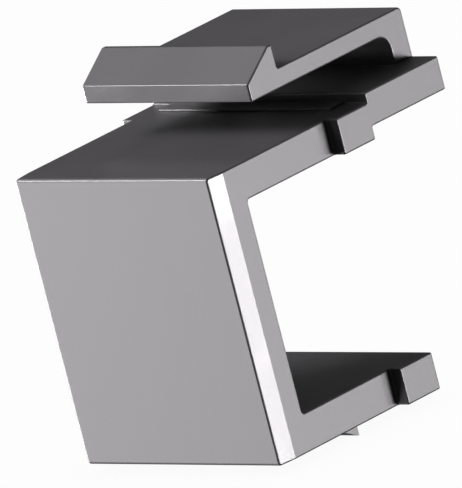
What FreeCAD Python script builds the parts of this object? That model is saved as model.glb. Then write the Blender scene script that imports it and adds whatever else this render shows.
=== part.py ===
"""Keystone blank insert: the one-piece moulded plug that closes an unused keystone port.

A square face sits flush with the panel. A top leg and a foot run back from it, and both widen into
wings whose front faces stop against the back of the port. The sprung latch stands up from the rear of
the top leg, folds forward over it and ends in a ramped hook. A fixed nub under the foot catches the
port's lower edge.

Frame: X runs across the face, Y runs back into the port, Z is up. The origin is the centre of the face.
All sizes are in millimetres.
"""

import FreeCAD
import Part
import math
import os

# Face plate
face_width = 14.5
face_height = 16.3
face_thickness = 2.45
face_edge_radius = 0.2
lead_in_depth = 1.15
lead_in_per_side = 0.15

# Top leg and foot
top_leg_thickness = 2.05
foot_thickness = 2.1
foot_length = 12.1
inner_corner_radius = 0.2

# Wings on both legs, whose front faces are the stops
stop_depth = 9.5
wing_width = 16.3

# Raised rear plate that carries the latch
rear_plate_start = 12.0
rear_plate_length = 5.95
rear_plate_rise = 0.6
rear_plate_thickness = 1.9

# Low pad on the top leg, under the hook
pad_width = 13.0
pad_start = 10.8
pad_height = 0.15

# Sprung latch
latch_width = 12.6
web_thickness = 1.45
arm_thickness = 1.1
arm_clearance = 1.75
bend_inner_radius = 0.8
bend_outer_radius = 0.3

# Hook at the front end of the latch
hook_start = 5.55
hook_length = 2.45
hook_front_height = 1.0
hook_ramp_length = 2.1
hook_ramp_rise = 1.45
hook_edge_radius = 0.12

# Fixed nub under the foot
nub_width = 14.2
nub_catch_depth = 6.4
nub_ramp_length = 1.1
nub_drop = 0.6
nub_tip_radius = 0.04

# Break on every long outer edge, and how far one feature is let into the next before they are joined
edge_radius = 0.1
root = 0.5

# Heights that follow from the sizes above
face_top = face_height / 2
face_bottom = -face_height / 2
top_leg_under = face_top - top_leg_thickness
foot_top = face_bottom + foot_thickness
rear_plate_top = face_top + rear_plate_rise
rear_plate_under = rear_plate_top - rear_plate_thickness
rear_end = rear_plate_start + rear_plate_length
arm_under = rear_plate_top + arm_clearance
arm_top = arm_under + arm_thickness


def rounded_wire(corners, place):
    """Closed wire through corners (a, b, radius), with a tangent arc at each corner that has a radius."""
    edges = []
    first_point = None
    last_point = None
    count = len(corners)
    for i, (a, b, radius) in enumerate(corners):
        here = FreeCAD.Vector(a, b, 0)
        before = FreeCAD.Vector(*corners[i - 1][:2], 0) - here
        after = FreeCAD.Vector(*corners[(i + 1) % count][:2], 0) - here
        half_angle = before.getAngle(after) / 2
        before.normalize()
        after.normalize()
        setback = radius / math.tan(half_angle)
        start = here + before * setback
        end = here + after * setback
        if last_point is not None:
            edges.append(Part.makeLine(place(last_point), place(start)))
        if radius > 0:
            to_centre = (before + after).normalize()
            middle = here + to_centre * (radius / math.sin(half_angle) - radius)
            edges.append(Part.Arc(place(start), place(middle), place(end)).toShape())
        if first_point is None:
            first_point = start
        last_point = end
    edges.append(Part.makeLine(place(last_point), place(first_point)))
    return Part.Wire(edges)


def side_prism(corners, width):
    """Solid of a side outline, given as (Y, Z, radius) corners, centred across the width."""
    wire = rounded_wire(corners, lambda p: FreeCAD.Vector(-width / 2, p.x, p.y))
    return Part.Face(wire).extrude(FreeCAD.Vector(width, 0, 0))


def plan_prism(corners, low, high):
    """Solid of a plan outline, given as (X, Y, radius) corners, between two heights."""
    wire = rounded_wire(corners, lambda p: FreeCAD.Vector(p.x, p.y, low))
    return Part.Face(wire).extrude(FreeCAD.Vector(0, 0, high - low))


def break_edges(solid):
    """The solid with every edge rounded by the edge radius."""
    return solid.makeFillet(edge_radius, solid.Edges)


def carrier():
    """Face plate, top leg with its raised rear plate, and foot, with lead-in sides and wings."""
    side = side_prism(
        [
            (0, face_bottom, face_edge_radius),
            (foot_length, face_bottom, 0),
            (foot_length, foot_top, 0),
            (face_thickness, foot_top, inner_corner_radius),
            (face_thickness, top_leg_under, inner_corner_radius),
            (rear_plate_start, top_leg_under, 0),
            (rear_plate_start, rear_plate_under, 0),
            (rear_end, rear_plate_under, 0),
            (rear_end, rear_plate_top, 0),
            (rear_plate_start, rear_plate_top, 0),
            (rear_plate_start, face_top, 0),
            (0, face_top, face_edge_radius),
        ],
        wing_width,
    )
    face_half = face_width / 2
    side_half = face_half + lead_in_per_side
    wing_half = wing_width / 2
    right_side = [
        (face_half, 0, 0),
        (side_half, lead_in_depth, 0),
        (side_half, stop_depth, 0),
        (wing_half, stop_depth, 0),
        (wing_half, rear_end, 0),
    ]
    left_side = [(-x, y, radius) for x, y, radius in reversed(right_side)]
    plan = plan_prism(right_side + left_side, face_bottom, rear_plate_top)
    return side.common(plan)


def latch():
    """Web, arm and hook in one bend, let into the rear plate by the root."""
    hook_top = arm_under + hook_front_height + hook_ramp_rise
    return side_prism(
        [
            (rear_end, rear_plate_top - root, 0),
            (rear_end, arm_top, bend_outer_radius),
            (hook_start + hook_length, arm_top, 0),
            (hook_start + hook_length, hook_top, hook_edge_radius),
            (hook_start + hook_ramp_length, hook_top, 0),
            (hook_start, arm_under + hook_front_height, 0),
            (hook_start, arm_under, 0),
            (rear_end - web_thickness, arm_under, bend_inner_radius),
            (rear_end - web_thickness, rear_plate_top - root, 0),
        ],
        latch_width,
    )


def pad():
    """Low pad across the top leg, from under the hook back to the rear plate, with a rounded front edge."""
    pad_top = face_top + pad_height
    return side_prism(
        [
            (pad_start, face_top - root, 0),
            (rear_plate_start + root, face_top - root, 0),
            (rear_plate_start + root, pad_top, 0),
            (pad_start, pad_top, edge_radius),
        ],
        pad_width,
    )


def nub():
    """Ramped nub under the foot, with its catch face towards the rear."""
    return side_prism(
        [
            (nub_catch_depth, face_bottom + root, 0),
            (nub_catch_depth, face_bottom - nub_drop, nub_tip_radius),
            (nub_catch_depth - nub_ramp_length, face_bottom, 0),
            (nub_catch_depth - nub_ramp_length, face_bottom + root, 0),
        ],
        nub_width,
    )


def insert():
    """The whole moulding as one solid."""
    features = [break_edges(latch()), pad(), nub()]
    return break_edges(carrier()).fuse(features).removeSplitter()


os.makedirs("parts", exist_ok=True)
insert().exportStep("parts/blank_insert.step")
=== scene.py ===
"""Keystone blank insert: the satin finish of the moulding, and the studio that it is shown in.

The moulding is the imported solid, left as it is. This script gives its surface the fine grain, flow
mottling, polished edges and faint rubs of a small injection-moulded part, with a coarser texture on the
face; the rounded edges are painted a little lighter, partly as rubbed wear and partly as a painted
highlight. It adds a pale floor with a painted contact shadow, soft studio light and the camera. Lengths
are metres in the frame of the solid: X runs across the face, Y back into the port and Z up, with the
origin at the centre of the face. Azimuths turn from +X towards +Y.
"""

from __future__ import annotations

import logging
import math
from dataclasses import dataclass, field
from enum import Enum

import bmesh
import bpy
from mathutils import Matrix, Vector


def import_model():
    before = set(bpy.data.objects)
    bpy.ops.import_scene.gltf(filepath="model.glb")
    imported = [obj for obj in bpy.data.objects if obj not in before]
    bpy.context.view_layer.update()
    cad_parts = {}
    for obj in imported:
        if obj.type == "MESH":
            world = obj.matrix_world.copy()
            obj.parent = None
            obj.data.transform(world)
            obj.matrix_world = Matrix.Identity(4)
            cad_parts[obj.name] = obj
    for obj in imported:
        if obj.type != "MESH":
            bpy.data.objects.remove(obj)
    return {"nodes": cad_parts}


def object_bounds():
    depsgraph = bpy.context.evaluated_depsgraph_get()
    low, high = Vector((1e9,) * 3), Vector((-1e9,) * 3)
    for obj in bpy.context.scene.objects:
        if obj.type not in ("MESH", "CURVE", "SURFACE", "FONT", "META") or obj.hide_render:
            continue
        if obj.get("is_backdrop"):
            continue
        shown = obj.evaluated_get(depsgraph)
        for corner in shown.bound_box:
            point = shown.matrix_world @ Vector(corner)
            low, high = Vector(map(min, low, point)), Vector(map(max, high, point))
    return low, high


MM = 0.001
NODE = "blank_insert"
PHOTO_HEIGHT_PX = 488

logger = logging.getLogger(NODE)


def direction(azimuth_deg: float, elevation_deg: float) -> Vector:
    """Gives the unit vector that points in a direction.

    Args:
        azimuth_deg: Turn from +X towards +Y.
        elevation_deg: Height above the horizon.

    Returns:
        The unit vector.
    """
    azimuth = math.radians(azimuth_deg)
    elevation = math.radians(elevation_deg)
    level = math.cos(elevation)
    return Vector((math.cos(azimuth) * level, math.sin(azimuth) * level, math.sin(elevation)))


class Effect(Enum):
    """The surface effects, each one shader node group."""

    GRAIN = "mould_grain"
    FLOW = "flow_mottle"
    EDGES = "polished_edges_and_painted_highlight"
    FACE = "textured_face"
    HANDLING = "handling_marks"


class Graph:
    """A node tree with short ways to add nodes and join them."""

    def __init__(self, tree: bpy.types.NodeTree) -> None:
        """Takes the tree to build in."""
        self.tree = tree

    def add(self, kind: str, **settings: object) -> bpy.types.Node:
        """Adds a node.

        Args:
            kind: The node's type, without its ShaderNode prefix.
            **settings: Attributes of the node and their values.

        Returns:
            The node.
        """
        node = self.tree.nodes.new("ShaderNode" + kind)
        for name, value in settings.items():
            setattr(node, name, value)
        return node

    def feed(self, socket: bpy.types.NodeSocket, value: object) -> None:
        """Gives an input its value.

        Args:
            socket: The input.
            value: An output to link to it, or a constant.
        """
        if isinstance(value, bpy.types.NodeSocket):
            self.tree.links.new(value, socket)
        else:
            socket.default_value = value

    def math(self, operation: str, *values: object) -> bpy.types.NodeSocket:
        """Works out a number from one, two or three others.

        Args:
            operation: The Math node's operation.
            *values: Outputs or constants, in the order of the node's inputs.

        Returns:
            The output.
        """
        node = self.add("Math", operation=operation)
        for socket, value in zip(node.inputs, values):
            self.feed(socket, value)
        return node.outputs["Value"]

    def dot(self, vector: bpy.types.NodeSocket, other: Vector) -> bpy.types.NodeSocket:
        """Gives the size of a vector along a fixed one, whichever way it points.

        Args:
            vector: The vector's output.
            other: The fixed unit vector.

        Returns:
            The output.
        """
        node = self.add("VectorMath", operation="DOT_PRODUCT")
        self.feed(node.inputs[0], vector)
        self.feed(node.inputs[1], other)
        return self.math("ABSOLUTE", node.outputs["Value"])

    def remap(
        self, value: object, low: float, high: float, to_low: float = 0.0, to_high: float = 1.0
    ) -> bpy.types.NodeSocket:
        """Maps a range of a value smoothly to another range, and holds it past the ends.

        Args:
            value: The output to map.
            low: The value that gives to_low.
            high: The value that gives to_high.
            to_low: Result at low.
            to_high: Result at high.

        Returns:
            The output.
        """
        node = self.add("MapRange", interpolation_type="SMOOTHSTEP")
        for name, number in zip(
            ("Value", "From Min", "From Max", "To Min", "To Max"), (value, low, high, to_low, to_high)
        ):
            self.feed(node.inputs[name], number)
        return node.outputs["Result"]

    def noise(
        self, position: object, feature: object, detail: float = 2.0, distortion: float = 0.0
    ) -> bpy.types.NodeSocket:
        """Adds noise.

        Args:
            position: Where it is read.
            feature: Length of its largest features, in metres.
            detail: Number of finer layers.
            distortion: How far its features are drawn out.

        Returns:
            The output, about 0 to 1.
        """
        node = self.add("TexNoise")
        self.feed(node.inputs["Vector"], position)
        self.feed(node.inputs["Scale"], self.math("DIVIDE", 1.0, feature))
        self.feed(node.inputs["Detail"], detail)
        self.feed(node.inputs["Distortion"], distortion)
        return node.outputs["Fac"]

    def blend(self, share: object, first: object, second: object) -> bpy.types.NodeSocket:
        """Mixes two colours.

        Args:
            share: The second colour's share.
            first: Colour at a share of 0.
            second: Colour at a share of 1.

        Returns:
            The output.
        """
        node = self.add("Mix", data_type="RGBA")
        self.feed(node.inputs["Factor"], share)
        self.feed(node.inputs["A"], first)
        self.feed(node.inputs["B"], second)
        return node.outputs["Result"]


@dataclass
class SurfaceEffects:
    """The node groups, each built when it is first asked for.

    Attributes:
        flat_directions: The ways that the moulding's flat faces point, whose signs don't matter.
        flat_share: Least share of a flat direction in a normal that still counts as flat.
        round_share: Share below which a normal lies well inside a rounded edge.
        broad_grain: Size of the grain's broad features, over that of its fine ones.
        fine_share: The fine features' share of the grain's height.
        grain_range: Sums of both noises that give the darkest and the lightest grain.
        flow_swirl: How far the melt's mottling is drawn out of shape.
        flow_range: Noise that gives the darkest and the lightest mottling.
        rub_draw: Share of each axis in the rubs' pattern, where less draws them out.
        rub_range: Noise that breaks a rub off, and noise that leaves it whole.
        trees: The groups that have been built.
    """

    flat_directions: tuple[Vector, ...]
    flat_share: float = 0.985
    round_share: float = 0.93
    broad_grain: float = 2.7
    fine_share: float = 0.6
    grain_range: tuple[float, float] = (0.7, 1.3)
    flow_swirl: float = 0.4
    flow_range: tuple[float, float] = (0.3, 0.7)
    rub_draw: tuple[float, float, float] = (1.0, 0.8, 0.25)
    rub_range: tuple[float, float] = (0.52, 0.64)
    trees: dict[Effect, bpy.types.NodeTree] = field(default_factory=dict)

    def place(self, graph: Graph, effect: Effect, **values: object) -> bpy.types.Node:
        """Places an effect in a material.

        Args:
            graph: The material's graph.
            effect: The effect.
            **values: The group's inputs by name, with underscores for spaces.

        Returns:
            The group node.
        """
        if effect not in self.trees:
            self.trees[effect] = self.build(effect)
        node = graph.add("Group", node_tree=self.trees[effect])
        for name, value in values.items():
            graph.feed(node.inputs[name.replace("_", " ").title()], value)
        return node

    def build(self, effect: Effect) -> bpy.types.NodeTree:
        """Builds one effect's group.

        Args:
            effect: The effect.

        Returns:
            Its node tree.
        """
        makers = {
            Effect.GRAIN: self.grain,
            Effect.FLOW: self.flow,
            Effect.EDGES: self.edges,
            Effect.FACE: self.face,
            Effect.HANDLING: self.handling,
        }
        tree = bpy.data.node_groups.new(effect.value, "ShaderNodeTree")
        makers[effect](tree)
        return tree

    @staticmethod
    def ports(
        tree: bpy.types.NodeTree, inputs: dict[str, str], outputs: tuple[str, ...]
    ) -> tuple[Graph, bpy.types.NodeOutputs, bpy.types.NodeInputs]:
        """Gives a group its inputs and outputs.

        Args:
            tree: The group's tree.
            inputs: Names of the inputs, and the kind of each, Float or Vector.
            outputs: Names of the outputs, all of which are numbers.

        Returns:
            The group's graph, its inputs to read from and its outputs to feed.
        """
        for name, kind in inputs.items():
            tree.interface.new_socket(name, in_out="INPUT", socket_type="NodeSocket" + kind)
        for name in outputs:
            tree.interface.new_socket(name, in_out="OUTPUT", socket_type="NodeSocketFloat")
        graph = Graph(tree)
        source = tree.nodes.new("NodeGroupInput")
        sink = tree.nodes.new("NodeGroupOutput")
        return graph, source.outputs, sink.inputs

    def grain(self, tree: bpy.types.NodeTree) -> None:
        """Builds the fine spark-eroded grain that the mould leaves: a height and an uneven tone."""
        graph, given, made = self.ports(
            tree, {"Position": "Vector", "Grain Size": "Float"}, ("Height", "Tone")
        )
        fine = graph.noise(given["Position"], given["Grain Size"], detail=2.0)
        broad_size = graph.math("MULTIPLY", given["Grain Size"], self.broad_grain)
        broad = graph.noise(given["Position"], broad_size, detail=1.0)
        broad_height = graph.math("MULTIPLY", broad, 1.0 - self.fine_share)
        graph.feed(made["Height"], graph.math("MULTIPLY_ADD", fine, self.fine_share, broad_height))
        graph.feed(made["Tone"], graph.remap(graph.math("ADD", fine, broad), *self.grain_range))

    def flow(self, tree: bpy.types.NodeTree) -> None:
        """Builds the slow mottling that the melt leaves as it runs: a tone drawn out along the flow."""
        graph, given, made = self.ports(
            tree, {"Position": "Vector", "Patch Size": "Float", "Draw": "Vector"}, ("Tone",)
        )
        drawn = graph.add("VectorMath", operation="MULTIPLY")
        graph.feed(drawn.inputs[0], given["Position"])
        graph.feed(drawn.inputs[1], given["Draw"])
        patches = graph.noise(
            drawn.outputs["Vector"], given["Patch Size"], detail=4.0, distortion=self.flow_swirl
        )
        graph.feed(made["Tone"], graph.remap(patches, *self.flow_range))

    def edges(self, tree: bpy.types.NodeTree) -> None:
        """Builds the mask of the rounded edges: 1 where the normal leaves every flat direction."""
        graph, given, made = self.ports(tree, {"Normal": "Vector"}, ("Mask",))
        nearest: object = 0.0
        for way in self.flat_directions:
            nearest = graph.math("MAXIMUM", nearest, graph.dot(given["Normal"], way))
        graph.feed(made["Mask"], graph.remap(nearest, self.flat_share, self.round_share))

    def face(self, tree: bpy.types.NodeTree) -> None:
        """Builds the mask of the face's own texture: 1 on the front, fading out over its rounded edges."""
        graph, given, made = self.ports(tree, {"Position": "Vector", "Fade": "Float"}, ("Mask",))
        parts = graph.add("SeparateXYZ")
        graph.feed(parts.inputs["Vector"], given["Position"])
        depth = graph.math("DIVIDE", parts.outputs["Y"], given["Fade"])
        graph.feed(made["Mask"], graph.remap(depth, 0.0, 1.0, 1.0, 0.0))

    def handling(self, tree: bpy.types.NodeTree) -> None:
        """Builds faint rubs: thin broken lines, in the cells between drawn-out patches."""
        graph, given, made = self.ports(
            tree, {"Position": "Vector", "Spacing": "Float", "Thinness": "Float"}, ("Mask",)
        )
        bent = graph.add("VectorMath", operation="MULTIPLY")
        graph.feed(bent.inputs[0], given["Position"])
        graph.feed(bent.inputs[1], self.rub_draw)
        cells = graph.add("TexVoronoi", feature="DISTANCE_TO_EDGE")
        graph.feed(cells.inputs["Vector"], bent.outputs["Vector"])
        graph.feed(cells.inputs["Scale"], graph.math("DIVIDE", 1.0, given["Spacing"]))
        line = graph.remap(
            graph.math("MULTIPLY", cells.outputs["Distance"], given["Thinness"]), 0.0, 1.0, 1.0, 0.0
        )
        patches = graph.noise(given["Position"], given["Spacing"], detail=3.0)
        broken = graph.remap(patches, *self.rub_range)
        graph.feed(made["Mask"], graph.math("MULTIPLY", line, broken))


@dataclass(frozen=True)
class MouldedFinish:
    """Dark satin plastic, straight from a fine spark-eroded mould.

    Attributes:
        name: The material's name.
        colour: Linear colour of the plastic.
        flow_contrast: How far the melt's mottling moves the colour either way, as a share of it.
        flow_draw: Share of each axis in the mottling, where less draws it out.
        speckle_share: How much of the grain's tone shows.
        speckle_contrast: How much darker the grain's high spots are, as a share of the colour.
        edge_rub_and_painted_highlight: How much lighter the rounded edges are painted, as a share of the
            colour: partly rubbed wear, partly a painted highlight.
        roughness: Roughness of the flat faces. All roughness stays above 0.28, because below that the
            render's denoiser outlines the mottling.
        flow_roughness: How far the mottling moves the roughness either way.
        face_roughness: Roughness that the face's coarser texture adds.
        face_fade: Depth over which that texture fades out at the face's edges.
        edge_roughness: Roughness of the rounded edges, which rub smooth.
        mark_roughness: Roughness that a rub adds.
        mark_depth: Depth of a rub, as a share of the grain's.
        ior: Refractive index of the plastic.
        grain_size: Length of the mould's grain.
        grain_height: Depth of the mould's grain.
        patch_size: Length of the mottling's patches.
        mark_spacing: Distance between rubs.
        mark_thinness: Distance between rubs, over the width of one.
    """

    name: str = "satin_moulding"
    colour: tuple[float, float, float] = (0.06, 0.0585, 0.0605)
    flow_contrast: float = 0.06
    flow_draw: tuple[float, float, float] = (1.0, 0.5, 0.7)
    speckle_share: float = 0.25
    speckle_contrast: float = 0.2
    edge_rub_and_painted_highlight: float = 0.1
    roughness: float = 0.3
    flow_roughness: float = 0.015
    face_roughness: float = 0.26
    face_fade: float = 0.15 * MM
    edge_roughness: float = 0.285
    mark_roughness: float = 0.03
    mark_depth: float = 0.3
    ior: float = 1.5
    grain_size: float = 0.07 * MM
    grain_height: float = 0.003 * MM
    patch_size: float = 5.0 * MM
    mark_spacing: float = 2.6 * MM
    mark_thinness: float = 60.0

    def shade(self, share: float) -> tuple[float, float, float, float]:
        """Gives the colour, lighter or darker by a share, with its alpha."""
        return (*(channel * (1.0 + share) for channel in self.colour), 1.0)

    def material(self, effects: SurfaceEffects) -> bpy.types.Material:
        """Builds the material.

        Args:
            effects: The node groups.

        Returns:
            The material.
        """
        material = bpy.data.materials.new(self.name)
        material.use_nodes = True
        graph = Graph(material.node_tree)
        place = graph.add("TexCoord")
        position = place.outputs["Object"]
        grain = effects.place(graph, Effect.GRAIN, position=position, grain_size=self.grain_size)
        flow = effects.place(
            graph, Effect.FLOW, position=position, patch_size=self.patch_size, draw=self.flow_draw
        )
        edges = effects.place(graph, Effect.EDGES, normal=place.outputs["Normal"])
        face = effects.place(graph, Effect.FACE, position=position, fade=self.face_fade)
        marks = effects.place(
            graph,
            Effect.HANDLING,
            position=position,
            spacing=self.mark_spacing,
            thinness=self.mark_thinness,
        )
        bsdf = material.node_tree.nodes["Principled BSDF"]
        graph.feed(bsdf.inputs["IOR"], self.ior)
        mottled = graph.blend(
            flow.outputs["Tone"], self.shade(-self.flow_contrast), self.shade(self.flow_contrast)
        )
        speckle = graph.math("MULTIPLY", grain.outputs["Tone"], self.speckle_share)
        speckled = graph.blend(speckle, mottled, self.shade(-self.speckle_contrast))
        # base colour: mottling and grain, with the rounded edges painted a little lighter, partly as rubbed
        # wear and partly as a painted highlight
        graph.feed(
            bsdf.inputs["Base Color"],
            graph.blend(edges.outputs["Mask"], speckled, self.shade(self.edge_rub_and_painted_highlight)),
        )
        uneven = graph.remap(
            flow.outputs["Tone"],
            0.0,
            1.0,
            self.roughness - self.flow_roughness,
            self.roughness + self.flow_roughness,
        )
        textured = graph.math("MULTIPLY_ADD", face.outputs["Mask"], self.face_roughness, uneven)
        rubbed = graph.math("MULTIPLY_ADD", marks.outputs["Mask"], self.mark_roughness, textured)
        to_edge = graph.math("SUBTRACT", self.edge_roughness, rubbed)
        graph.feed(
            bsdf.inputs["Roughness"], graph.math("MULTIPLY_ADD", edges.outputs["Mask"], to_edge, rubbed)
        )
        relief = graph.math(
            "MULTIPLY_ADD", marks.outputs["Mask"], -self.mark_depth, grain.outputs["Height"]
        )
        bump = graph.add("Bump")
        graph.feed(bump.inputs["Distance"], self.grain_height)
        graph.feed(bump.inputs["Height"], relief)
        graph.feed(bsdf.inputs["Normal"], bump.outputs["Normal"])
        return material


@dataclass
class Moulding:
    """The insert itself: one moulded piece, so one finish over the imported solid.

    Attributes:
        finish: Its surface.
        hook_ramp_deg: Slope of the hook's ramp.
        nub_ramp_deg: Slope of the nub's ramp, under the foot.
    """

    finish: MouldedFinish = field(default_factory=MouldedFinish)
    hook_ramp_deg: float = 34.6
    nub_ramp_deg: float = 28.6

    def flat_directions(self) -> tuple[Vector, ...]:
        """Gives the ways that its flat faces point."""
        front_azimuth_deg = -90.0
        return (
            Vector((1.0, 0.0, 0.0)),
            Vector((0.0, 1.0, 0.0)),
            Vector((0.0, 0.0, 1.0)),
            direction(front_azimuth_deg, 90.0 - self.hook_ramp_deg),
            direction(front_azimuth_deg, self.nub_ramp_deg - 90.0),
        )

    def dress(self, solid: bpy.types.Object) -> None:
        """Gives the solid its finish.

        Args:
            solid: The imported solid's object.
        """
        effects = SurfaceEffects(self.flat_directions())
        solid.data.materials[0] = self.finish.material(effects)


@dataclass(frozen=True)
class SoftLight:
    """One round softbox that faces the part.

    Attributes:
        name: What it lights.
        azimuth_deg: Direction in which it stands.
        elevation_deg: Its height above the horizon. The floor lets light from below through.
        width_deg: How wide it looks from the part.
        strength: Brightness of its face, where the background is about 1.
    """

    name: str
    azimuth_deg: float
    elevation_deg: float
    width_deg: float
    strength: float

    def build(self, aim: Vector, distance: float, colour: tuple[float, float, float]) -> bpy.types.Object:
        """Makes the light.

        Args:
            aim: The point that it faces.
            distance: How far from that point it stands.
            colour: The light's colour.

        Returns:
            The light object.
        """
        away = direction(self.azimuth_deg, self.elevation_deg)
        radius = distance * math.tan(math.radians(self.width_deg / 2.0))
        data = bpy.data.lights.new(self.name, "AREA")
        data.shape = "DISK"
        data.size = 2.0 * radius
        area = math.pi * radius**2
        data.energy = self.strength * math.pi * area
        data.color = colour
        light = bpy.data.objects.new(self.name, data)
        light.matrix_world = Matrix.Translation(aim + away * distance) @ away.to_track_quat(
            "Z", "Y"
        ).to_matrix().to_4x4()
        light.visible_camera = False
        bpy.context.scene.collection.objects.link(light)
        return light


@dataclass
class Studio:
    """The pale floor, the background and the lights.

    Attributes:
        backdrop: Brightness of the floor and the background, as the camera sees them.
        contact_shadow_tone: Brightness of the floor's painted contact shadow, where the part all but
            touches it.
        contact_shadow_reach: How far from the part the painted shadow darkens the floor.
        fill: Brightness of the room, as the part sees it.
        floor_radius: Radius of the floor.
        floor_gap: Distance between the part's lowest point and the floor.
        light_distance: How far the lights stand from the part.
        light_colour: Colour of their light, a little magenta as in the photograph.
        lights: The softboxes.
    """

    backdrop: float = 0.982
    contact_shadow_tone: float = 0.95
    contact_shadow_reach: float = 5.0 * MM
    fill: float = 0.028
    floor_radius: float = 0.6
    floor_gap: float = 0.01 * MM
    light_distance: float = 0.6
    light_colour: tuple[float, float, float] = (1.0, 0.973, 1.004)
    lights: tuple[SoftLight, ...] = (
        SoftLight("lead_in_sheen", 24.0, -14.0, 8.0, 77.0),
        SoftLight("side_front", 28.0, -14.0, 10.0, 37.0),
        SoftLight("side_middle", 34.0, -14.0, 8.0, 36.0),
        SoftLight("side_rear", 50.0, -12.0, 14.0, 8.6),
        SoftLight("face_left", -165.0, -8.0, 14.0, 156.0),
        SoftLight("face_low", -118.0, -36.0, 20.0, 20.5),
        SoftLight("upper_front", -128.0, 42.0, 34.0, 9.2),
        SoftLight("upper_middle", -136.0, 38.0, 16.0, 28.0),
        SoftLight("upper_left", -150.0, 42.0, 16.0, 11.0),
        SoftLight("top_edge", -146.0, 28.0, 8.0, 38.0),
        SoftLight("rear_left", 180.0, 50.0, 20.0, 1.4),
        SoftLight("rear_middle", 150.0, 36.0, 16.0, 1.4),
        SoftLight("rear_top", 120.0, 20.0, 30.0, 0.2),
        SoftLight("overhead", -60.0, 70.0, 50.0, 0.7),
    )

    def floor(self, level: float) -> bpy.types.Object:
        """Makes the floor, with a painted contact shadow that darkens it softly towards the part.

        Args:
            level: Height of the part's lowest point.

        Returns:
            The floor object.
        """
        mesh = bpy.data.meshes.new("floor")
        outline = bmesh.new()
        bmesh.ops.create_circle(outline, cap_ends=True, segments=64, radius=self.floor_radius)
        outline.to_mesh(mesh)
        outline.free()
        floor = bpy.data.objects.new("floor", mesh)
        floor.location.z = level - self.floor_gap
        mesh.materials.append(self.floor_material())
        floor.visible_diffuse = False
        floor.visible_glossy = False
        floor.visible_shadow = False
        bpy.context.scene.collection.objects.link(floor)
        floor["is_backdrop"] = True
        return floor

    def floor_material(self) -> bpy.types.Material:
        """Builds the floor's pale glowing surface, with a painted shadow that makes it darker close to the
        part.

        Returns:
            The material.
        """
        material = bpy.data.materials.new("pale_floor")
        material.use_nodes = True
        material.node_tree.nodes.clear()
        graph = Graph(material.node_tree)
        # painted contact shadow: the part's ambient occlusion dims the floor's glow near it
        openness = graph.add("AmbientOcclusion", samples=16)
        graph.feed(openness.inputs["Distance"], self.contact_shadow_reach)
        tone = graph.remap(openness.outputs["AO"], 0.0, 1.0, self.contact_shadow_tone, self.backdrop)
        surface = graph.add("Emission")
        graph.feed(surface.inputs["Color"], (1.0, 1.0, 1.0, 1.0))
        graph.feed(surface.inputs["Strength"], tone)
        graph.feed(graph.add("OutputMaterial").inputs["Surface"], surface.outputs["Emission"])
        return material

    def background(self) -> bpy.types.World:
        """Makes the world: pale to the camera, and the dim room to the part.

        Returns:
            The world.
        """
        world = bpy.data.worlds.new("studio")
        world.use_nodes = True
        world.node_tree.nodes.clear()
        graph = Graph(world.node_tree)
        seen = graph.add("Background")
        room = graph.add("Background")
        for node, brightness in ((seen, self.backdrop), (room, self.fill)):
            graph.feed(node.inputs["Color"], (1.0, 1.0, 1.0, 1.0))
            graph.feed(node.inputs["Strength"], brightness)
        choice = graph.add("MixShader")
        graph.feed(choice.inputs["Fac"], graph.add("LightPath").outputs["Is Camera Ray"])
        graph.feed(choice.inputs[1], room.outputs["Background"])
        graph.feed(choice.inputs[2], seen.outputs["Background"])
        graph.feed(graph.add("OutputWorld").inputs["Surface"], choice.outputs["Shader"])
        bpy.context.scene.world = world
        return world

    def build(self, low: Vector, high: Vector) -> None:
        """Builds the studio round the part.

        Args:
            low: The part's lowest corner.
            high: The part's highest corner.
        """
        self.floor(low.z)
        self.background()
        for light in self.lights:
            light.build((low + high) / 2.0, self.light_distance, self.light_colour)
            logger.info("light: %s", light.name)
        bpy.context.scene.view_settings.view_transform = "Standard"


@dataclass
class PhotoCamera:
    """The camera, where the photograph's view was solved to be: far away, and turned about its own axis.

    Attributes:
        azimuth_deg: Direction in which it stands.
        elevation_deg: Its height above the horizon.
        roll_deg: Turn about its own axis.
        distance: Distance from the aim point.
        aim: The point on the part that the view was solved about.
        aim_right_px: How far right of the picture's middle that point falls.
        aim_down_px: How far below the picture's middle it falls.
        pixels_per_mm: Scale of the picture at that point.
        clip_ratio: The distance over the near clipping distance, and the far one over the distance.
    """

    azimuth_deg: float = -43.206
    elevation_deg: float = 13.907
    roll_deg: float = -14.4
    distance: float = 1100 * MM
    aim: Vector = field(default_factory=lambda: Vector((0.0, 8.0, -0.15)) * MM)
    aim_right_px: float = 15.97
    aim_down_px: float = 30.51
    pixels_per_mm: float = 18.6
    clip_ratio: float = 10.0

    def build(self) -> bpy.types.Object:
        """Makes the camera and sets it as the scene's own.

        Returns:
            The camera object.
        """
        back = direction(self.azimuth_deg, self.elevation_deg)
        level = back.to_track_quat("Z", "Y").to_matrix()
        turn = level @ Matrix.Rotation(math.radians(self.roll_deg), 3, "Z")
        per_pixel = MM / self.pixels_per_mm
        middle = self.aim - turn.col[0] * self.aim_right_px * per_pixel
        middle += turn.col[1] * self.aim_down_px * per_pixel
        data = bpy.data.cameras.new("photo_camera")
        data.lens = data.sensor_width * self.distance / (PHOTO_HEIGHT_PX * per_pixel)
        data.clip_start = self.distance / self.clip_ratio
        data.clip_end = self.distance * self.clip_ratio
        camera = bpy.data.objects.new("photo_camera", data)
        camera.matrix_world = Matrix.Translation(middle + back * self.distance) @ turn.to_4x4()
        bpy.context.scene.collection.objects.link(camera)
        bpy.context.scene.camera = camera
        return camera


def main() -> None:
    """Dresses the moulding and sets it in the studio."""
    logging.basicConfig(level=logging.INFO, format="%(name)s: %(message)s")
    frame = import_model()
    cad_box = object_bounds()
    Moulding().dress(frame["nodes"][NODE])
    logger.info("moulding dressed")
    Studio().build(*cad_box)
    logger.info("studio built")
    PhotoCamera().build()
    logger.info("camera placed")


if __name__ == "__main__":
    main()
